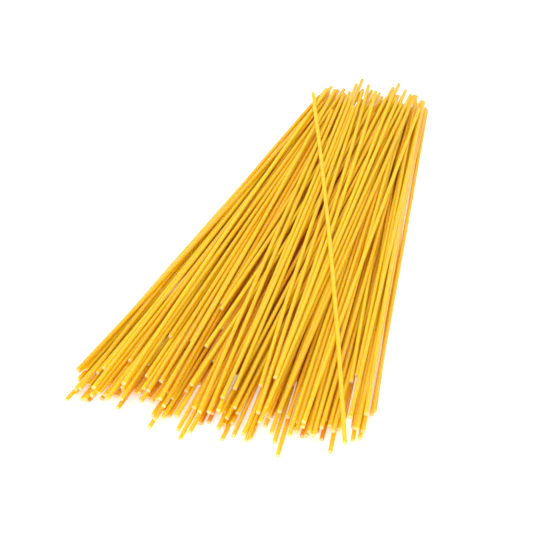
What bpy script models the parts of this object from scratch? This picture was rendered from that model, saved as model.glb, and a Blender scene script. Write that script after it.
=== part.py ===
"""Bundle of dry spaghetti, loose on a table: a fan of long straight strands, gathered at one end
and spread at the other, with one more strand lying slantwise over the top.

The strands are laid one after another by a resting rule (lay_strands).  The bundle is one solid
out to the uneven outline of that heap: a ridged, domed top, a flat underside, and both ends
broken up into blunt fingers as long as the strand tips there.  The slanting strand is a solid of
its own.  The strands run along Y, the narrow end at +Y.  Sizes are in millimetres until the
meshes are made, in metres.
"""
import bpy
import numpy as np

MM = 0.001                     # metres in a millimetre

# ---- the strands ---------------------------------------------------------------------------
STRAND_D = 2.0                 # diameter of a strand
STRAND_LENGTH = 256.0          # length of a whole strand
STRANDS = 212                  # strands in the heap
BROKEN_SHARE = 0.30            # share of them that are shorter than whole
SHORTEST = 0.74                # shortest of those, as a share of a whole one
INSIDE = 0.82                  # part of the fan's width that the shorter ones keep to
LOW_BEND, TOP_BEND = 0.35, 1.3     # how far the middles of low and top strands bend aside

# ---- the fan -------------------------------------------------------------------------------
# Low strands fan out wide from close together; top strands lie more side by side over them.
NARROW_LOW, NARROW_TOP = 20.4, 28.0    # half the width of the gathered end, low and at the top
WIDE_LOW, WIDE_TOP = 65.2, 37.2        # half the width of the spread end, low and at the top
DRIFT_FAR, DRIFT_NEAR = -1.5, -5.7     # how far the top strands' ends lie to one side
STRAY_FAR = 4.3, 12.0          # sideways scatter of the tips at the gathered end, low and top
STRAY_NEAR = 6.8, 37.0         # and at the spread end
FAR_TIPS_Y = 145.0             # mean place of the tips at the gathered end
FAR_TIPS_SKEW = 8.0            # how much further the +X side of that end reaches
DRAWN_BACK = 36.0, 22.0        # how far the low strands at the -X and +X edges lie toward +Y
DRAWN_UP = 6.0                 # how far the top strands lie toward +Y
TIP_SCATTER = 5.0              # spread of the tips about their mean, at either end
PARTING = 3.2                  # width, at the spread end, of the gap that opens near the +X edge
PARTING_AT = 0.865             # where that gap lies, as a share of the half width
PARTED = 0.5                   # share of the strands, from the lowest, that keep the gap open
SLIDE = 0.60                   # how far a strand may slide over the fan to settle, as a share
ROLL = 0.3                     # how much strands keep from lying high up at the edges
TURN_LOW, TURN_TOP = 5.0, 3.0  # how far the ends of low and top strands may turn to settle
SEED = 9

# ---- the strand that lies slantwise over the heap ------------------------------------------
OVER_NEAR = (61.2, -112.0)     # x, y of its tip at the spread end
OVER_FAR = (-28.6, 133.2)      # x, y of its tip at the gathered end
OVER_BOW = 1.6                 # how far its middle bends aside
OVER_GAP = 0.35                # space kept between it and the heap

# ---- how the solid is divided --------------------------------------------------------------
RIDGES = 42                    # ridges across the top
RIDGE_DEPTH = 0.9              # depth of the valleys between them
STATIONS = 15                  # cross-sections along the strands
FINGER_RIDGES = {"near": 1, "far": 2}   # ridges to a finger at the spread and gathered end
TIER = {"near": 2.9, "far": 3.3}        # height of a layer of fingers
FINGER_TAPER = 0.86            # size of a finger against the cell it grows from


def rest(support, t):
    """Where a straight strand comes to rest on h = support (.., station) at the shares t.

    Its middle (t = 0.5) rests as low as it can while the strand clears every support:
    z(mid) = max over a < mid <= b of the straight line through h(a) and h(b).  Returns the
    height at t = 0 and the slope of the strand, for each row of support.
    """
    lo, hi = np.nonzero(t < 0.5)[0], np.nonzero(t >= 0.5)[0]
    w = (t[hi] - 0.5) / (t[hi] - t[lo, None])
    mid = support[:, lo, None] * w + support[:, None, hi] * (1 - w)
    pair = mid.reshape(len(support), -1).argmax(1)
    p, q, row = lo[pair // hi.size], hi[pair % hi.size], np.arange(len(support))
    slope = (support[row, q] - support[row, p]) / (t[q] - t[p])
    return support[row, p] - slope * t[p], slope


def from_low_to_top(pair, rank):
    """A value that runs evenly from the lowest strand's to the top strand's."""
    return pair[0] + (pair[1] - pair[0]) * rank


def lay_strands():
    """Lay the strands on the table one by one; return their ends, bends and rank (0 low, 1 top).

    Each strand has its line in the fan.  It tries sliding sideways over the fan and turning a
    little, and keeps the place in which its middle and its tips come to rest lowest and do not
    lie high up at the fan's edges, where they would roll off.  The support is the table or
    h = z + sqrt(d^2 - dx^2) over each strand already there at the sideways distance dx.
    """
    rng = np.random.default_rng(SEED)
    n, d, r = STRANDS, STRAND_D, STRAND_D / 2
    rank = (np.arange(n) + 0.5) / n
    s = 2 * ((np.arange(n) * 0.6180339887 + 0.31) % 1) - 1
    narrow = from_low_to_top((NARROW_LOW, NARROW_TOP), rank)
    wide = from_low_to_top((WIDE_LOW, WIDE_TOP), rank ** 1.5)
    x_near = s * wide + DRIFT_NEAR * rank
    x_near += rng.uniform(-1, 1, n) * from_low_to_top(STRAY_NEAR, rank ** 2)
    x_far = s * narrow + DRIFT_FAR * rank
    x_far += rng.uniform(-1, 1, n) * from_low_to_top(STRAY_FAR, rank ** 2)
    broken = (rng.random(n) < BROKEN_SHARE) & (abs(s * wide) < INSIDE * WIDE_LOW)
    length = np.where(broken, STRAND_LENGTH * rng.uniform(SHORTEST, 0.97, n), STRAND_LENGTH)
    y_far = FAR_TIPS_Y + FAR_TIPS_SKEW * s + rng.normal(0, TIP_SCATTER, n)
    y_far += np.where(s < 0, *DRAWN_BACK) * abs(s) ** 3 * (1 - rank) + DRAWN_UP * rank
    y_far -= broken * (rng.random(n) < 0.4) * (STRAND_LENGTH - length) * rng.uniform(0.2, 1, n)
    y_near = y_far - np.sqrt(length ** 2 - (x_far - x_near) ** 2)
    bend = rng.normal(0, 1, n) * from_low_to_top((LOW_BEND, TOP_BEND), rank ** 3)

    beyond, low = s * wide > PARTING_AT * WIDE_LOW, rank < PARTED
    lip = PARTING_AT * WIDE_LOW + (PARTING / 2 + r) * np.array([-1, 1])
    near_lo = np.where(low & beyond, lip[1], -WIDE_LOW)
    near_hi = np.where(low & ~beyond, lip[0], WIDE_LOW)
    near_lo, near_hi = (np.where(broken, np.clip(v, -INSIDE * WIDE_LOW, INSIDE * WIDE_LOW), v)
                        for v in (near_lo, near_hi))
    far_hi = NARROW_TOP * np.where(broken, INSIDE, 1)

    station = np.linspace(-134, 174, 41)
    share = (station - y_near[:, None]) / (y_far - y_near)[:, None]
    turn = from_low_to_top((TURN_LOW, TURN_TOP), np.clip((rank - 0.5) / 0.2, 0, 1))
    tries = np.meshgrid(np.linspace(-SLIDE, SLIDE, 31), np.linspace(-1, 1, 5))
    slides, turns = (a.ravel() for a in tries)
    x = np.zeros((n, station.size))
    z = np.full_like(x, -99.0)
    ends = np.zeros((n, 2, 3))
    for i in range(n):
        k = np.nonzero((share[i] > -0.015) & (share[i] < 1.015))[0]
        t = share[i, k]
        a = np.clip(x_near[i] + slides * WIDE_LOW + turns * turn[i], near_lo[i], near_hi[i])
        b = np.clip(x_far[i] + slides * NARROW_TOP - turns * turn[i], -far_hi[i], far_hi[i])
        tried = a[:, None] * (1 - t) + b[:, None] * t + bend[i] * 4 * t * (1 - t)
        dx = tried[:, None] - x[:i, k]
        over = z[:i, k] + np.sqrt(np.maximum(d * d - dx * dx, 0))
        h = np.where(abs(dx) < d, over, r).max(1, initial=r)
        base, slope = rest(h, t)
        tip = base + slope
        roll = base * (a / WIDE_LOW) ** 4 + tip * (b / NARROW_TOP) ** 4
        moved = abs(a - x_near[i]) + abs(b - x_far[i])
        cost = base + slope / 2 + 0.7 * np.maximum(base, tip) + ROLL * roll + 0.005 * moved
        c = cost.argmin()
        x[i, k], z[i, k] = tried[c], base[c] + slope[c] * t
        ends[i, 0] = a[c], y_near[i], base[c]
        ends[i, 1] = b[c], y_far[i], base[c] + slope[c]
    return ends, bend, rank


class Heap:
    """The outline of the laid strands: its edges, its top and its tips."""

    def __init__(self, ends, bend):
        self.near, self.far, self.bend = ends[:, 0], ends[:, 1], bend
        y = np.linspace(-90, 118, 27)
        x, _, lies = self.cut(y)
        left = np.where(lies, x, 99).min(1) - STRAND_D / 2
        right = np.where(lies, x, -99).max(1) + STRAND_D / 2
        self.left, self.right = np.polyfit(y, left, 2), np.polyfit(y, right, 2)

    def cut(self, y):
        """x, z of every strand in the cross-sections at y, and whether it reaches there."""
        t = (y[:, None] - self.near[:, 1]) / (self.far[:, 1] - self.near[:, 1])
        x = self.near[:, 0] * (1 - t) + self.far[:, 0] * t + self.bend * 4 * t * (1 - t)
        z = self.near[:, 2] * (1 - t) + self.far[:, 2] * t
        return x, z, (t >= 0) & (t <= 1)

    def across(self, s, y):
        """x at the share s (-1 left edge to 1 right edge) of the heap's width at y."""
        a, b = np.polyval(self.left, y), np.polyval(self.right, y)
        return a + (b - a) * (s + 1) / 2

    def share(self, x, y):
        """The share of the width at which x lies: the inverse of across."""
        a, b = np.polyval(self.left, y), np.polyval(self.right, y)
        return 2 * (x - a) / (b - a) - 1

    def top(self, x, y, reach=2.3):
        """Height of the heap at the points x, y: the strands' tops, rounded off over reach."""
        xs, zs, lies = self.cut(y)
        near = lies & (abs(xs - x[:, None]) < reach)
        round_off = np.sqrt(np.maximum(1 - ((xs - x[:, None]) / reach) ** 2, 0))
        top = zs - STRAND_D / 2 + STRAND_D * round_off
        return np.maximum(np.where(near, top, 0).max(1), 1.4)

    def tip_line(self, end, s):
        """Mean y of the tips at one end over the width: a parabola through them."""
        tips = self.near if end == "near" else self.far
        inward = 1 if end == "near" else -1
        at = self.share(tips[:, 0], tips[:, 1])
        fit = np.polyfit(at, tips[:, 1], 2)
        late = abs(tips[:, 1] - np.polyval(fit, at)) < 9
        return np.polyval(np.polyfit(at[late], tips[late, 1], 2), s) + inward * 7.0


def body_grid(heap):
    """Top surface of the heap: (station, column, xyz), a crest or a valley to each column."""
    s = np.linspace(-1, 1, 2 * RIDGES + 1)
    y0, y1 = heap.tip_line("near", s), heap.tip_line("far", s)
    v = np.linspace(0, 1, STATIONS)[:, None]
    y = y0 * (1 - v) + y1 * v
    x = heap.across(s, y)
    rows = np.array([heap.top(np.clip(a, a[0] + 1.2, a[-1] - 1.2), b) for a, b in zip(x, y)])
    smooth = rows.copy()
    smooth[:, 1:-1] = (rows[:, :-2] + 2 * rows[:, 1:-1] + rows[:, 2:]) / 4
    valley = np.arange(s.size) % 2 == 0
    z = smooth - RIDGE_DEPTH * valley * np.clip((smooth - 1.2) / 1.0, 0, 1)
    z[:, [0, -1]] = STRAND_D / 2
    return s, np.stack([x, y, z], -1)


def end_fingers(heap, end, s, rim, verts, faces, row):
    """Close one end: cells over its face, each drawn out into a blunt finger.

    rim is the top edge of the end, (column, xyz); row the numbers of its vertices.  A cell
    spans one or two ridges and one tier.  Its finger keeps to the fan and reaches as far as
    the farthest strand tip that lies in the cell.
    """
    out = -1 if end == "near" else 1
    span = 2 * FINGER_RIDGES[end]
    tips = heap.near if end == "near" else heap.far
    tip_share = heap.share(tips[:, 0], tips[:, 1])
    cells = (s.size - 1) // span
    tiers = [max(1, round(rim[c * span:(c + 1) * span + 1, 2].mean() / TIER[end]))
             for c in range(cells)]
    known = {(c * span, 1.0): row[c * span] for c in range(cells + 1)}

    def corner(column, level):
        """Vertex of the end face at a column, at a level from 0 (table) to 1 (rim)."""
        key = (column, round(level, 5))
        if key not in known:
            known[key] = len(verts)
            verts.append((rim[column, 0], rim[column, 1], rim[column, 2] * level))
        return known[key]

    def levels(column):
        """All the levels at which cells on either side of this column meet it."""
        beside = [tiers[c] for c in (column // span - 1, column // span) if 0 <= c < cells]
        return sorted({round(k / m, 5) for m in beside for k in range(m + 1)})

    for c in range(cells):
        a, b = c * span, (c + 1) * span
        for k in range(tiers[c]):
            low, high = round(k / tiers[c], 5), round((k + 1) / tiers[c], 5)
            right = [corner(b, f) for f in levels(b) if low <= f <= high]
            left = [corner(a, f) for f in levels(a) if low <= f <= high]
            crest = [row[j] for j in range(b - 1, a, -1)] if k == tiers[c] - 1 else []
            ring = right + crest + left[::-1]
            height = tips[:, 2] / rim[a:b + 1, 2].mean()
            inside = (tip_share > s[a]) & (tip_share < s[b]) & (height > low) & (height <= high)
            if high == 1.0:
                inside |= (tip_share > s[a]) & (tip_share < s[b]) & (height > 1)
            face_y = rim[a:b + 1, 1].mean()
            reach = max((out * (tips[inside, 1] - face_y)).max(initial=0), 1.2 + 2.2 * (k % 2))
            finger(heap, ring, out * reach, verts, faces, flip=(end == "far"))


def finger(heap, ring, reach, verts, faces, flip):
    """Draw the cell with corners ring out along the fan by reach, a little slimmer."""
    p = np.array([verts[i] for i in ring])
    centre = p.mean(0)
    foot = centre + (p - centre) * (0.5 + FINGER_TAPER / 2)
    share = heap.share(foot[:, 0], foot[:, 1])
    tip = centre + (p - centre) * FINGER_TAPER
    tip[:, 1] = foot[:, 1].mean() + reach
    tip[:, 0] = heap.across(share, tip[:, 1])
    tip[:, 0] = tip[:, 0].mean() + (tip[:, 0] - tip[:, 0].mean()) * FINGER_TAPER
    n, start = len(ring), len(verts)
    verts.extend(map(tuple, foot))
    verts.extend(map(tuple, tip))
    for near_ring, far_ring in ((ring, range(start, start + n)),
                                (range(start, start + n), range(start + n, start + 2 * n))):
        for i in range(n):
            j = (i + 1) % n
            quad = [near_ring[i], near_ring[j], far_ring[j], far_ring[i]]
            faces.append(quad[::-1] if flip else quad)
    cap = list(range(start + n, start + 2 * n))
    faces.append(cap[::-1] if flip else cap)


def bundle_mesh(heap):
    """Vertices and faces of the whole heap as one closed solid."""
    s, top = body_grid(heap)
    m, c, _ = top.shape
    verts = [tuple(p) for p in top.reshape(-1, 3)]
    faces = [[i * c + j, i * c + j + 1, (i + 1) * c + j + 1, (i + 1) * c + j]
             for i in range(m - 1) for j in range(c - 1)]
    for end, i in (("near", 0), ("far", m - 1)):
        end_fingers(heap, end, s, top[i], verts, faces, list(range(i * c, (i + 1) * c)))
    edges = {}
    for f in faces:
        for a, b in zip(f, f[1:] + f[:1]):
            if (b, a) in edges:
                del edges[(b, a)]
            else:
                edges[(a, b)] = True
    side = {}
    for j in (0, c - 1):
        for i in range(1, m - 1):
            side[i * c + j] = len(verts)
            verts.append((*verts[i * c + j][:2], 0.0))
    foot = {}
    for a, b in edges:
        for v in (a, b):
            if verts[v][2] == 0.0:
                foot[tuple(np.round(verts[v][:2], 6))] = v
    for j, order in ((0, 1), (c - 1, -1)):
        column = [i * c + j for i in range(m)]
        below = [side.get(v, foot.get(tuple(np.round(verts[v][:2], 6)))) for v in column]
        for i in range(m - 1):
            upright = []
            if i == 0:
                upright = stack(verts, edges, column[0], below[0])
            quad = [column[i], column[i + 1], below[i + 1], below[i]] + upright
            if i == m - 2:
                rise = stack(verts, edges, column[-1], below[-1])
                quad = [column[i], column[i + 1]] + rise[::-1] + [below[i + 1], below[i]] + upright
            faces.append(quad[::-1] if order == -1 else quad)
    # the underside: every border edge still open, walked round once
    open_edges = {}
    for f in faces:
        for a, b in zip(f, f[1:] + f[:1]):
            if open_edges.pop((b, a), None) is None:
                open_edges[(a, b)] = True
    after = {b: a for a, b in open_edges}
    loop = [next(iter(after))]
    while after[loop[-1]] != loop[0]:
        loop.append(after[loop[-1]])
    faces.append(loop)
    return verts, faces


def stack(verts, edges, top, bottom):
    """Vertices of an end face that stand on its outer upright, from bottom to top."""
    x, y, _ = verts[top]
    between = {v for e in edges for v in e if v not in (top, bottom)
               and abs(verts[v][0] - x) < 1e-6 and abs(verts[v][1] - y) < 1e-6}
    return sorted(between, key=lambda v: verts[v][2])


def over_strand(heap, sides=12, rings=9):
    """The slanting strand: a rod that rests across the heap's ridges, bowed a little aside."""
    (x0, y0), (x1, y1) = OVER_NEAR, OVER_FAR
    t = np.linspace(0.002, 0.998, 240)
    x, y = x0 + (x1 - x0) * t + OVER_BOW * 4 * t * (1 - t), y0 + (y1 - y0) * t
    h = np.max([heap.top(x + dx, y) for dx in (-1.2, -0.6, 0, 0.6, 1.2)], axis=0)
    h += STRAND_D / 2 + OVER_GAP
    base, slope = rest(h[None], t)
    v = np.linspace(0, 1, rings)
    path = np.stack([x0 + (x1 - x0) * v + OVER_BOW * 4 * v * (1 - v), y0 + (y1 - y0) * v,
                     base + slope * v], -1)
    angle = np.arange(sides) / sides * 2 * np.pi
    ring = np.stack([np.cos(angle), 0 * angle, np.sin(angle)], -1) * STRAND_D / 2
    verts = (path[:, None] + ring).reshape(-1, 3)
    faces = [[i * sides + j, i * sides + (j + 1) % sides,
              (i + 1) * sides + (j + 1) % sides, (i + 1) * sides + j]
             for i in range(rings - 1) for j in range(sides)]
    faces = [f[::-1] for f in faces]
    faces.append(list(range(sides)))
    faces.append(list(range(len(verts) - sides, len(verts)))[::-1])
    return verts, faces


def pasta_material():
    """Dry durum wheat pasta: warm yellow, not quite matt."""
    material = bpy.data.materials.new("durum_pasta")
    material.use_nodes = True
    shader = material.node_tree.nodes["Principled BSDF"]
    shader.inputs["Base Color"].default_value = (0.86, 0.52, 0.06, 1)
    shader.inputs["Roughness"].default_value = 0.5
    return material


def add_solid(name, verts, faces, origin, material):
    """One named object, moved so that origin comes to 0, 0, 0 and scaled to metres."""
    mesh = bpy.data.meshes.new(name)
    points = (np.array(verts) - origin) * MM
    mesh.from_pydata(points.tolist(), [], [[int(i) for i in f] for f in faces])
    mesh.materials.append(material)
    mesh.update()
    bpy.context.collection.objects.link(bpy.data.objects.new(name, mesh))


def build():
    for old in list(bpy.data.objects):
        bpy.data.objects.remove(old, do_unlink=True)
    ends, bend, _ = lay_strands()
    heap = Heap(ends, bend)
    bundle, over = bundle_mesh(heap), over_strand(heap)
    both = np.array(list(bundle[0]) + list(over[0]))
    middle = (both.min(0) + both.max(0)) / 2
    origin = np.array([middle[0], middle[1], 0.0])
    pasta = pasta_material()
    add_solid("spaghetti_bundle", *bundle, origin, pasta)
    add_solid("crossing_strand", *over, origin, pasta)


build()
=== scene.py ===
"""Bundle of dry spaghetti, loose on a pale table: gathered at one end and fanned out at the other,
with one strand lying slantwise over the top.

The CAD frame gives two solids: the heap out to its outline, and the slanting strand.  Here the
heap is replaced by its strands at true size, laid one by one by the resting rule that also gave
the solid its outline, over a smaller core.  The strands run along Y, narrow end at +Y.
"""
import math

import bpy
import numpy as np
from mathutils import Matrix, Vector


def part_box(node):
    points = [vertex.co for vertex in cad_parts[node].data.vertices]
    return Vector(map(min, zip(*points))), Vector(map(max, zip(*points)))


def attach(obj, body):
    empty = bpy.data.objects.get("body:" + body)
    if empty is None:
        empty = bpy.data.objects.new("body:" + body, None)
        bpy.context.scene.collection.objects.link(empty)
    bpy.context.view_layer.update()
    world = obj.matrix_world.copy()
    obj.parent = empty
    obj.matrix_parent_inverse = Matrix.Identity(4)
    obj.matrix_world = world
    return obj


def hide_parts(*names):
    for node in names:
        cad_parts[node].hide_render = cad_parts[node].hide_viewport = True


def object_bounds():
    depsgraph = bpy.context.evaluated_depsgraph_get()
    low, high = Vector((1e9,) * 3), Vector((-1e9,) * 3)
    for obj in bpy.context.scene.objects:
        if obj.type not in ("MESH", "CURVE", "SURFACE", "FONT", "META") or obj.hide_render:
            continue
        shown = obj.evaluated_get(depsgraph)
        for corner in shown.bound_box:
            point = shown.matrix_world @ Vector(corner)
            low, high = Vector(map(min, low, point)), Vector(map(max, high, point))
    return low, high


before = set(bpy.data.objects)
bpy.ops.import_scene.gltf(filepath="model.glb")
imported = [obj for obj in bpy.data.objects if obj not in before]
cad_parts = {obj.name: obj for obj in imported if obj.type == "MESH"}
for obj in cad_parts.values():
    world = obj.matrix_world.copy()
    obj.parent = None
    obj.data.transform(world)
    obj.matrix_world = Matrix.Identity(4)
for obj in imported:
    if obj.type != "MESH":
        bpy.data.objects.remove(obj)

MM = 0.001                     # metres in a millimetre; the strands are laid in millimetres
CAD_BOX = [list(corner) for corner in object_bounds()]

# ---- the strands ---------------------------------------------------------------------------
STRAND_D = 2.0                 # diameter of a strand
STRAND_LENGTH = 256.0          # length of a whole strand
STRANDS = 212                  # strands in the heap
BROKEN_SHARE = 0.30            # share of them that are shorter than whole
SHORTEST, LONGEST = 0.74, 0.97     # shortest and longest of those, as shares of a whole one
SHORT_AT_FAR = 0.4             # share of them that lack some of it at the gathered end
INSIDE = 0.82                  # part of the fan's width that the shorter ones keep to
SIDES = 10                     # flats round a strand, shaded smooth
CUT_EDGE = 0.16                # how far the edge of a cut end is rounded off
CUT_TILT = 0.16                # how far from square a cut can be, as a slope
RINGS_AT = 4.0, 64.0, 128.0, 192.0, 252.0      # where a whole strand has its inner rings
LOW_BEND, TOP_BEND = 0.35, 1.3     # how far the middles of low and top strands bend aside

# ---- the fan -------------------------------------------------------------------------------
# Low strands fan out wide from close together; top strands lie more side by side over them.
NARROW_LOW, NARROW_TOP = 20.4, 28.0    # half the width of the gathered end, low and at the top
WIDE_LOW, WIDE_TOP = 65.2, 37.2        # half the width of the spread end, low and at the top
DRIFT_FAR, DRIFT_NEAR = -1.5, -5.7     # how far the top strands' ends lie to one side
STRAY_FAR = 4.3, 12.0          # sideways scatter of the tips at the gathered end, low and top
STRAY_NEAR = 6.8, 37.0         # and at the spread end
FAR_TIPS_Y = 145.0             # mean place of the tips at the gathered end
FAR_TIPS_SKEW = 8.0            # how much further the +X side of that end reaches
DRAWN_BACK = 36.0, 22.0        # how far the low strands at the -X and +X edges lie toward +Y
DRAWN_UP = 6.0                 # how far the top strands lie toward +Y
TIP_SCATTER = 5.0              # spread of the tips about their mean, at either end
PARTING = 3.2                  # width, at the spread end, of the gap that opens near the +X edge
PARTING_AT = 0.865             # where that gap lies, as a share of the half width
PARTED = 0.5                   # share of the strands, from the lowest, that keep the gap open
SEED = 9

# ---- how the strands settle ----------------------------------------------------------------
GOLDEN = 0.6180339887          # step across the fan from strand to strand, as a share of it
FIRST = 0.31                   # where across the fan the first strand lies, as a share of it
STATIONS = 41                  # places along Y at which heights are worked out
Y_FROM, Y_TO = -134.0, 174.0   # first and last of them
PAST_TIP = 0.015               # share of its length by which a strand still holds others up
SLIDE = 0.60                   # how far a strand may slide over the fan to settle, as a share
TURN_LOW, TURN_TOP = 5.0, 3.0  # how far the ends of low and top strands may turn to settle
TURN_RANK, TURN_STEP = 0.5, 0.2    # rank from which the one gives way to the other, over a step
SLIDES, TURNS = 31, 5          # how many places it tries of each
HIGH_TIP = 0.7                 # how much the higher tip counts against the middle's height
ROLL = 0.3                     # how much strands keep from lying high up at the edges
MOVED = 0.005                  # how much strands keep to their own lines
NO_STRAND = -99.0              # height that stands for a strand that doesn't reach a station

# ---- the slanting strand and the core ------------------------------------------------------
OVER_BEND = 1.6                # how far the slanting strand's middle bends aside
FULL_SHADE_DEPTH = 9.0                   # depth in the heap at which the painted shade on the strands is deepest
REACH = 5.0                    # how far aside a strand still shades another
CORE_WIDTH = 0.74              # width and height of the core, as shares of the heap's
CORE_HEIGHT = 0.50
CORE_END = 26.0                # how far the core stops short of the heap's ends
CORE_CLOSE = 0.12              # share of its length over which either end closes
CORE_LIFT = 0.4                # how far it stays off the table


# ============================ laying the strands ============================================

def rest(support, t):
    """Where a straight strand comes to rest on h = support (.., station) at the shares t.

    Its middle (t = 0.5) rests as low as it can while the strand clears every support:
    z(mid) = max over a < mid <= b of the straight line through h(a) and h(b).  Returns the
    height at t = 0 and the slope of the strand, for each row of support.
    """
    lo, hi = np.nonzero(t < 0.5)[0], np.nonzero(t >= 0.5)[0]
    w = (t[hi] - 0.5) / (t[hi] - t[lo, None])
    mid = support[:, lo, None] * w + support[:, None, hi] * (1 - w)
    pair = mid.reshape(len(support), -1).argmax(1)
    p, q, row = lo[pair // hi.size], hi[pair % hi.size], np.arange(len(support))
    slope = (support[row, q] - support[row, p]) / (t[q] - t[p])
    return support[row, p] - slope * t[p], slope


def from_low_to_top(pair, rank):
    """A value that runs evenly from the lowest strand's to the top strand's."""
    return pair[0] + (pair[1] - pair[0]) * rank


def lay_strands():
    """Lay the strands on the table one by one; return their ends and bends.

    Each strand has its line in the fan.  It tries sliding sideways over the fan and turning a
    little, and keeps the place in which its middle and its tips come to rest lowest and do not
    lie high up at the fan's edges, where they would roll off.  The support is the table or
    h = z + sqrt(d^2 - dx^2) over each strand already there at the sideways distance dx.

    s is a strand's place across the fan, -1 to 1, and rank its turn, from 0 for the lowest to 1
    for the top one.  The spread end narrows as rank^1.5, the scatter grows as rank^2 and the
    bend as rank^3.  Low strands are drawn back toward +Y as |s|^3, and they keep off the
    parting, from lip to lip.
    """
    rng = np.random.default_rng(SEED)
    n, d, r = STRANDS, STRAND_D, STRAND_D / 2
    rank = (np.arange(n) + 0.5) / n
    s = 2 * ((np.arange(n) * GOLDEN + FIRST) % 1) - 1
    narrow = from_low_to_top((NARROW_LOW, NARROW_TOP), rank)
    wide = from_low_to_top((WIDE_LOW, WIDE_TOP), rank ** 1.5)
    x_near = s * wide + DRIFT_NEAR * rank
    x_near += rng.uniform(-1, 1, n) * from_low_to_top(STRAY_NEAR, rank ** 2)
    x_far = s * narrow + DRIFT_FAR * rank
    x_far += rng.uniform(-1, 1, n) * from_low_to_top(STRAY_FAR, rank ** 2)
    broken = (rng.random(n) < BROKEN_SHARE) & (abs(s * wide) < INSIDE * WIDE_LOW)
    length = np.where(broken, STRAND_LENGTH * rng.uniform(SHORTEST, LONGEST, n), STRAND_LENGTH)
    y_far = FAR_TIPS_Y + FAR_TIPS_SKEW * s + rng.normal(0, TIP_SCATTER, n)
    y_far += np.where(s < 0, *DRAWN_BACK) * abs(s) ** 3 * (1 - rank) + DRAWN_UP * rank
    lacks_far = broken * (rng.random(n) < SHORT_AT_FAR)
    y_far -= lacks_far * (STRAND_LENGTH - length) * rng.uniform(0.2, 1, n)
    y_near = y_far - np.sqrt(length ** 2 - (x_far - x_near) ** 2)
    bend = rng.normal(0, 1, n) * from_low_to_top((LOW_BEND, TOP_BEND), rank ** 3)

    beyond, low = s * wide > PARTING_AT * WIDE_LOW, rank < PARTED
    lip = PARTING_AT * WIDE_LOW + (PARTING / 2 + r) * np.array([-1, 1])
    near_lo = np.where(low & beyond, lip[1], -WIDE_LOW)
    near_hi = np.where(low & ~beyond, lip[0], WIDE_LOW)
    near_lo, near_hi = (np.where(broken, np.clip(v, -INSIDE * WIDE_LOW, INSIDE * WIDE_LOW), v)
                        for v in (near_lo, near_hi))
    far_hi = NARROW_TOP * np.where(broken, INSIDE, 1)

    station = np.linspace(Y_FROM, Y_TO, STATIONS)
    share = (station - y_near[:, None]) / (y_far - y_near)[:, None]
    turn = from_low_to_top((TURN_LOW, TURN_TOP), np.clip((rank - TURN_RANK) / TURN_STEP, 0, 1))
    tries = np.meshgrid(np.linspace(-SLIDE, SLIDE, SLIDES), np.linspace(-1, 1, TURNS))
    slides, turns = (a.ravel() for a in tries)
    x = np.zeros((n, STATIONS))
    z = np.full_like(x, NO_STRAND)
    ends = np.zeros((n, 2, 3))
    for i in range(n):
        k = np.nonzero((share[i] > -PAST_TIP) & (share[i] < 1 + PAST_TIP))[0]
        t = share[i, k]
        a = np.clip(x_near[i] + slides * WIDE_LOW + turns * turn[i], near_lo[i], near_hi[i])
        b = np.clip(x_far[i] + slides * NARROW_TOP - turns * turn[i], -far_hi[i], far_hi[i])
        tried = a[:, None] * (1 - t) + b[:, None] * t + bend[i] * 4 * t * (1 - t)
        dx = tried[:, None] - x[:i, k]
        over = z[:i, k] + np.sqrt(np.maximum(d * d - dx * dx, 0))
        h = np.where(abs(dx) < d, over, r).max(1, initial=r)
        base, slope = rest(h, t)
        tip = base + slope
        roll = base * (a / WIDE_LOW) ** 4 + tip * (b / NARROW_TOP) ** 4
        moved = abs(a - x_near[i]) + abs(b - x_far[i])
        cost = base + slope / 2 + HIGH_TIP * np.maximum(base, tip) + ROLL * roll + MOVED * moved
        c = cost.argmin()
        x[i, k], z[i, k] = tried[c], base[c] + slope[c] * t
        ends[i, 0] = a[c], y_near[i], base[c]
        ends[i, 1] = b[c], y_far[i], base[c] + slope[c]
    return ends, bend


def lay_over(ends, bend, near, far, stations=161):
    """Lay the slanting strand from near to far (x, y) over the strands; return its two ends."""
    t = np.linspace(0, 1, stations)
    x = near[0] + (far[0] - near[0]) * t + OVER_BEND * 4 * t * (1 - t)
    y = near[1] + (far[1] - near[1]) * t
    u = (y[:, None] - ends[:, 0, 1]) / (ends[:, 1, 1] - ends[:, 0, 1])
    xs = ends[:, 0, 0] * (1 - u) + ends[:, 1, 0] * u + bend * 4 * u * (1 - u)
    zs = ends[:, 0, 2] * (1 - u) + ends[:, 1, 2] * u
    dx = abs(xs - x[:, None])
    over = zs + np.sqrt(np.maximum(STRAND_D ** 2 - dx ** 2, 0))
    lies = (u >= 0) & (u <= 1) & (dx < STRAND_D)
    support = np.where(lies, over, STRAND_D / 2).max(1)
    base, slope = rest(support[None], t)
    return np.array([[*near, base[0]], [*far, base[0] + slope[0]]])


# ============================ shapes ========================================================

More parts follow.
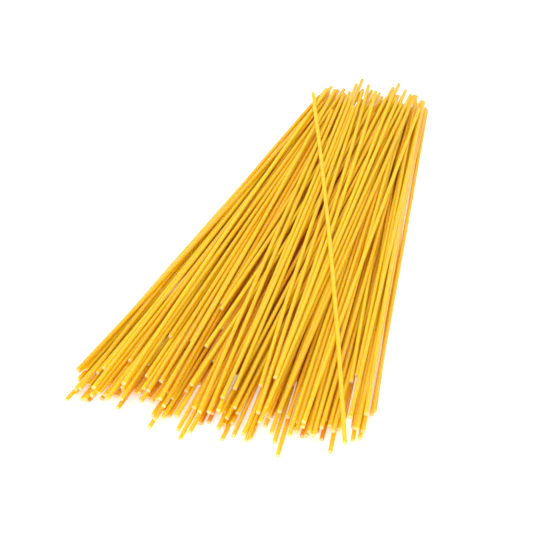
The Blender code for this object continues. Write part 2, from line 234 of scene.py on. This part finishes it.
def strand_surfaces(ends, bend, cut):
    """The surfaces of all the strands at once, as points (strand, ring, side, xyz).

    A circle of radius r(v) carried along a straight line from end to end, bent aside by
    bend * 4 v (1 - v).  r is full but for the last CUT_EDGE, where the edge of the cut is
    rounded off, and each cut plane leans by cut (strand, end, 2): the ring there slides along
    the strand by lean . (across, up).  Also returns how far each point is from the nearer tip.
    """
    span = ends[:, 1] - ends[:, 0]
    length = np.linalg.norm(span, axis=1)
    along = span / length[:, None]
    across = np.stack([along[:, 1], -along[:, 0], 0 * length], -1)
    across /= np.linalg.norm(across, axis=1)[:, None]
    up = np.cross(across, along)
    edge = CUT_EDGE / STRAND_LENGTH
    v = np.concatenate([[0.0, edge], np.array(RINGS_AT) / STRAND_LENGTH, [1 - edge, 1.0]])
    radius = np.full(v.size, STRAND_D / 2)
    radius[[0, -1]] -= CUT_EDGE
    angle = np.arange(SIDES) / SIDES * 2 * math.pi
    ring = np.stack([np.cos(angle), np.sin(angle)], -1)

    middle = ends[:, None, 0] + span[:, None] * v[:, None]
    middle = middle + (across * bend[:, None])[:, None] * (4 * v * (1 - v))[:, None]
    offset = radius[:, None, None] * ring
    lean = np.zeros((len(ends), v.size, 2))
    lean[:, :2], lean[:, -2:] = cut[:, None, 0], cut[:, None, 1]
    slide = np.einsum("rsk,nrk->nrs", offset, lean)
    points = (middle[:, :, None]
              + offset[None, ..., :1] * across[:, None, None]
              + offset[None, ..., 1:] * up[:, None, None]
              + slide[..., None] * along[:, None, None])
    to_tip = np.minimum(v, 1 - v) * length[:, None]
    return points, np.broadcast_to(to_tip[:, :, None], points.shape[:3])


def buried(points, ends, bend):
    """How deep each point lies in the heap: 0 at its top to 1 at FULL_SHADE_DEPTH below it.

    The top over a ring of points is that of the highest strand that passes within REACH of the
    ring's middle, measured across the heap, on the side where that is lower: light reaches the
    strands at the heap's edges from aside.  The depth is the mask of painted shade: the material
    darkens the strands toward orange with it, on their undersides and deep in the heap.
    """
    middle = points.mean(2)
    u = (middle[:, :, None, 1] - ends[:, 0, 1]) / (ends[:, 1, 1] - ends[:, 0, 1])
    aside = ends[:, 0, 0] * (1 - u) + ends[:, 1, 0] * u + bend * 4 * u * (1 - u)
    aside -= middle[:, :, None, 0]
    z = ends[:, 0, 2] * (1 - u) + ends[:, 1, 2] * u
    within = (u > 0) & (u < 1) & (abs(aside) < REACH)
    left, right = (np.where(within & (side * aside > 0), z, middle[:, :, None, 2]).max(2)
                   for side in (-1, 1))
    top = np.minimum(left, right) + STRAND_D / 2
    return np.clip((top[..., None] - points[..., 2]) / FULL_SHADE_DEPTH, 0, 1)


def tube_faces(count, rings, sides):
    """Quads of count tubes of rings x sides points each, and the two many-sided caps of each."""
    start = np.arange(count)[:, None, None] * rings * sides
    row = np.arange(rings - 1)[None, :, None] * sides
    a, b = np.arange(sides), (np.arange(sides) + 1) % sides
    base = start + row
    quads = np.stack([base + a, base + sides + a, base + sides + b, base + b], -1)
    first = start[:, 0] + a
    last = start[:, 0] + (rings - 1) * sides + a[::-1]
    return quads.reshape(-1, 4), np.concatenate([first, last])


def core_surface(ends, stations=24, sides=36):
    """The smaller core: points (1, ring, side, xyz) of a low dome carried along the fan.

    At each station the cross-section is x = a cos(q), z = CORE_LIFT + h max(sin(q), 0)^0.8:
    flat below, domed above.  Half width a and height h are shares of the heap's own there, read
    off near its outermost and highest tips, which run straight from the spread end to the
    gathered one.  Both shrink like an ellipse over the last part of either end, where the
    stations lie closer together.
    """
    near, far = ends[:, 0], ends[:, 1]
    y0, y1 = np.median(near[:, 1]) + CORE_END, np.median(far[:, 1]) - CORE_END
    v = (1 - np.cos(np.linspace(0.04, 0.96, stations) * math.pi)) / 2
    y = y0 + (y1 - y0) * v
    width = np.percentile(near[:, 0], 97) * (1 - v) + np.percentile(far[:, 0], 97) * v
    height = np.percentile(near[:, 2], 90) * (1 - v) + np.percentile(far[:, 2], 90) * v
    close = np.clip(np.minimum(v, 1 - v) / CORE_CLOSE, 0, 1)
    close = np.sqrt(1 - (1 - close) ** 2)
    q = np.arange(sides) / sides * 2 * math.pi
    lift = np.maximum(np.sin(q), 0) ** 0.8
    x = (width * close * CORE_WIDTH)[:, None] * np.cos(q)
    z = CORE_LIFT + (height * close * CORE_HEIGHT)[:, None] * lift
    return np.stack([x, np.broadcast_to(y[:, None], x.shape), z], -1)[None]


def piece(name, points, material, node, **values):
    """Make a mesh piece of tubes, in metres, riding on the bundle and standing for a CAD node.

    Each of values becomes an attribute that the material reads, a number for each point.
    """
    count, rings, sides, _ = points.shape
    quads, caps = tube_faces(count, rings, sides)
    mesh = bpy.data.meshes.new(name)
    mesh.from_pydata((points.reshape(-1, 3) * MM).tolist(), [], quads.tolist() + caps.tolist())
    mesh.shade_smooth()
    mesh.set_sharp_from_angle(angle=math.radians(50))
    for key, value in values.items():
        layer = mesh.attributes.new(key, "FLOAT", "POINT")
        shared = np.broadcast_to(value, points.shape[:3])
        layer.data.foreach_set("value", shared.astype(np.float32).ravel())
    mesh.materials.append(material)
    made = bpy.data.objects.new(name, mesh)
    bpy.context.collection.objects.link(made)
    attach(made, "root")
    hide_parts(node)
    return made


# ============================ materials =====================================================

def linear(code):
    """An sRGB hex colour as linear red, green, blue and alpha."""
    c = np.array([int(code[i:i + 2], 16) for i in (1, 3, 5)]) / 255
    return (*np.where(c <= 0.04045, c / 12.92, ((c + 0.055) / 1.055) ** 2.4), 1.0)


def new_material(name):
    """A node material; returns it and its Principled shader."""
    material = bpy.data.materials.new(name)
    material.use_nodes = True
    return material, material.node_tree.nodes["Principled BSDF"]


def add(material, kind, inputs=(), **settings):
    """Add a node: settings are its properties, inputs (socket, value or output) pairs."""
    tree = material.node_tree
    node = tree.nodes.new(kind)
    for key, value in settings.items():
        setattr(node, key, value)
    for socket, value in dict(inputs).items():
        if isinstance(value, bpy.types.NodeSocket):
            tree.links.new(value, node.inputs[socket])
        else:
            node.inputs[socket].default_value = value
    return node


def pasta_material(name):
    """Dry durum wheat semolina pasta, drawn through a die and dried slowly.

    A hard, slightly glassy golden yellow: light goes a little way in, and the surface has a
    soft satin gleam and fine pale semolina specks.  The tone differs from strand to strand and
    drifts along them, and the cut ends are paler.  Painted shade darkens the strands toward
    orange the deeper they lie in the heap, and on their undersides.
    """
    material, shader = new_material(name)
    where = add(material, "ShaderNodeTexCoord").outputs["Object"]
    tone, to_tip, deep = (
        add(material, "ShaderNodeAttribute", attribute_name=key).outputs["Fac"]
        for key in ("tone", "to_tip", "buried"))

    drift = add(material, "ShaderNodeTexNoise",
                {"Vector": where, "Scale": 22.0, "Detail": 1.0}).outputs["Fac"]   # 45 mm patches
    shade = add(material, "ShaderNodeMath", {0: drift, 1: 0.5, 2: tone},
                operation="MULTIPLY_ADD")
    body = add(material, "ShaderNodeMapRange",
               {"Value": shade.outputs[0], "From Min": 0.0, "From Max": 1.25})
    colour = add(material, "ShaderNodeMix", {"Factor": body.outputs["Result"],
                                             "A": linear("#F4B000"), "B": linear("#FCCA10")},
                 data_type="RGBA")
    # painted shade: the colour turns orange with depth below the nearby top of the heap
    painted_shade_mix = add(material, "ShaderNodeMapRange",
                {"Value": deep, "From Min": 0.15, "From Max": 0.9, "To Max": 0.85})
    colour = add(material, "ShaderNodeMix", {"Factor": painted_shade_mix.outputs["Result"],
                                             "A": colour.outputs["Result"],
                                             "B": linear("#E28200")}, data_type="RGBA")
    specks = add(material, "ShaderNodeTexNoise",
                 {"Vector": where, "Scale": 1900.0, "Detail": 1.0}).outputs["Fac"]  # 0.5 mm
    pale = add(material, "ShaderNodeMapRange",
               {"Value": specks, "From Min": 0.60, "From Max": 0.72, "To Max": 0.28})
    colour = add(material, "ShaderNodeMix", {"Factor": pale.outputs["Result"],
                                             "A": colour.outputs["Result"],
                                             "B": linear("#FADF8E")}, data_type="RGBA")
    tip = add(material, "ShaderNodeMapRange",
              {"Value": to_tip, "From Min": 0.05, "From Max": 0.5, "To Min": 0.55, "To Max": 0.0})
    colour = add(material, "ShaderNodeMix", {"Factor": tip.outputs["Result"],
                                             "A": colour.outputs["Result"],
                                             "B": linear("#FBE6A6")}, data_type="RGBA")
    material.node_tree.links.new(colour.outputs["Result"], shader.inputs["Base Color"])
    rough = add(material, "ShaderNodeMapRange",
                {"Value": drift, "To Min": 0.36, "To Max": 0.5})
    material.node_tree.links.new(rough.outputs["Result"], shader.inputs["Roughness"])
    relief = add(material, "ShaderNodeBump", {"Height": specks, "Strength": 0.25,
                                              "Distance": 0.05 * MM})
    material.node_tree.links.new(relief.outputs["Normal"], shader.inputs["Normal"])
    shader.inputs["IOR"].default_value = 1.35
    shader.inputs["Specular IOR Level"].default_value = 0.5
    shader.inputs["Subsurface Weight"].default_value = 1.0
    shader.inputs["Subsurface Radius"].default_value = (1.0, 0.55, 0.05)
    shader.inputs["Subsurface Scale"].default_value = 1.2 * MM
    return material


def core_material():
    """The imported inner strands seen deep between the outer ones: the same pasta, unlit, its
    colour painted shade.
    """
    material, shader = new_material("pasta_core_in_painted_shade")
    where = add(material, "ShaderNodeTexCoord").outputs["Object"]
    grain = add(material, "ShaderNodeTexNoise", {"Vector": where, "Scale": 300.0})
    # painted shade: the pasta's colour as it looks in deep shadow, a dark orange-brown
    colour = add(material, "ShaderNodeMix", {"Factor": grain.outputs["Fac"],
                                             "A": linear("#A84400"), "B": linear("#C05A00")},
                 data_type="RGBA")
    material.node_tree.links.new(colour.outputs["Result"], shader.inputs["Base Color"])
    shader.inputs["Roughness"].default_value = 0.7
    return material


def table_material():
    """A plain white laminate table top, slightly mottled.

    It gives off a little light of its own, which keeps it white to the eye round the heap.
    """
    material, shader = new_material("white_table")
    where = add(material, "ShaderNodeTexCoord").outputs["Object"]
    mottle = add(material, "ShaderNodeTexNoise", {"Vector": where, "Scale": 6.0})
    colour = add(material, "ShaderNodeMix", {"Factor": mottle.outputs["Fac"],
                                             "A": linear("#FAFAFA"), "B": linear("#FDFDFD")},
                 data_type="RGBA")
    material.node_tree.links.new(colour.outputs["Result"], shader.inputs["Base Color"])
    shader.inputs["Roughness"].default_value = 0.8
    shader.inputs["Emission Color"].default_value = (1.0, 1.0, 1.0, 1.0)
    shader.inputs["Emission Strength"].default_value = 0.35
    return material


# ============================ table, light and camera =======================================

def lay_table():
    """A large flat table just under the bundle."""
    half, z = 2.5, -0.0002
    mesh = bpy.data.meshes.new("table_top")
    mesh.from_pydata([(-half, -half, z), (half, -half, z), (half, half, z), (-half, half, z)],
                     [], [(0, 1, 2, 3)])
    mesh.materials.append(table_material())
    table = bpy.data.objects.new("table_top", mesh)
    bpy.context.collection.objects.link(table)


def from_side(azimuth, elevation, distance, target):
    """A point at distance from target; azimuth 0 is on the -Y side and turns toward +X."""
    a, e = math.radians(azimuth), math.radians(elevation)
    way = Vector((math.sin(a) * math.cos(e), -math.cos(a) * math.cos(e), math.sin(e)))
    return target + way * distance


def aim(holder, target):
    """Turn a lamp or camera to look at target."""
    holder.rotation_euler = (target - holder.location).to_track_quat("-Z", "Y").to_euler()


def lamp(name, azimuth, elevation, distance, size, power, target):
    """A square soft light aimed at target."""
    data = bpy.data.lights.new(name, "AREA")
    data.size, data.energy = size, power
    light = bpy.data.objects.new(name, data)
    bpy.context.collection.objects.link(light)
    light.location = from_side(azimuth, elevation, distance, target)
    aim(light, target)


def light_room(target):
    """White surroundings, a soft light high behind, and a larger one on the near side."""
    world = bpy.data.worlds.new("white_room")
    bpy.context.scene.world = world
    world.use_nodes = True
    background = world.node_tree.nodes["Background"]
    background.inputs["Color"].default_value = (1.0, 1.0, 1.0, 1.0)
    background.inputs["Strength"].default_value = 0.82
    lamp("key_light", azimuth=205, elevation=62, distance=1.2, size=0.7, power=3.0,
         target=target)
    lamp("fill_light", azimuth=8, elevation=42, distance=1.4, size=1.0, power=8.5,
         target=target)
    scene = bpy.context.scene
    scene.view_settings.view_transform = "Standard"
    scene.view_settings.look = "None"
    scene.view_settings.gamma = 1.2


def place_camera(centre):
    """A long lens looking down on the spread end from its +X side."""
    data = bpy.data.cameras.new("camera")
    data.sensor_width, data.lens = 36.0, 103.0
    camera = bpy.data.objects.new("camera", data)
    bpy.context.collection.objects.link(camera)
    target = centre + Vector((-10.0, -28.9, -4.5)) * MM
    camera.location = from_side(azimuth=18.5, elevation=38.3, distance=0.743, target=target)
    aim(camera, target)
    bpy.context.scene.camera = camera


# ============================ the bundle ====================================================

def main():
    ends, bend = lay_strands()
    heap_lo, heap_hi = (np.array(c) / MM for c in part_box("spaghetti_bundle"))
    over_lo, over_hi = (np.array(c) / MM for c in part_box("crossing_strand"))
    tips = ends[:, :, :2].reshape(-1, 2)       # laid about the fan's own middle line
    ends[:, :, :2] += (heap_lo[:2] + heap_hi[:2]) / 2 - (tips.min(0) + tips.max(0)) / 2

    r = STRAND_D / 2
    near, far = (over_hi[0] - r, over_lo[1]), (over_lo[0] + r, over_hi[1])
    over = lay_over(ends, bend, near, far)

    rng = np.random.default_rng(SEED + 1)
    tone = rng.random(STRANDS + 1)
    cut = rng.uniform(-CUT_TILT, CUT_TILT, (STRANDS + 1, 2, 2))
    pasta = pasta_material("durum_pasta")
    points, to_tip = strand_surfaces(ends, bend, cut[1:])
    piece("spaghetti_strands", points, pasta, "spaghetti_bundle",
          tone=tone[1:, None, None], to_tip=to_tip, buried=buried(points, ends, bend))
    points, to_tip = strand_surfaces(over[None], np.array([OVER_BEND]), cut[:1])
    piece("slanting_strand", points, pasta, "crossing_strand",
          tone=tone[0], to_tip=to_tip, buried=0.0)
    piece("heap_core", core_surface(ends), core_material(), "spaghetti_bundle")

    centre = (Vector(CAD_BOX[0]) + Vector(CAD_BOX[1])) / 2
    lay_table()
    light_room(centre)
    place_camera(centre)


main()
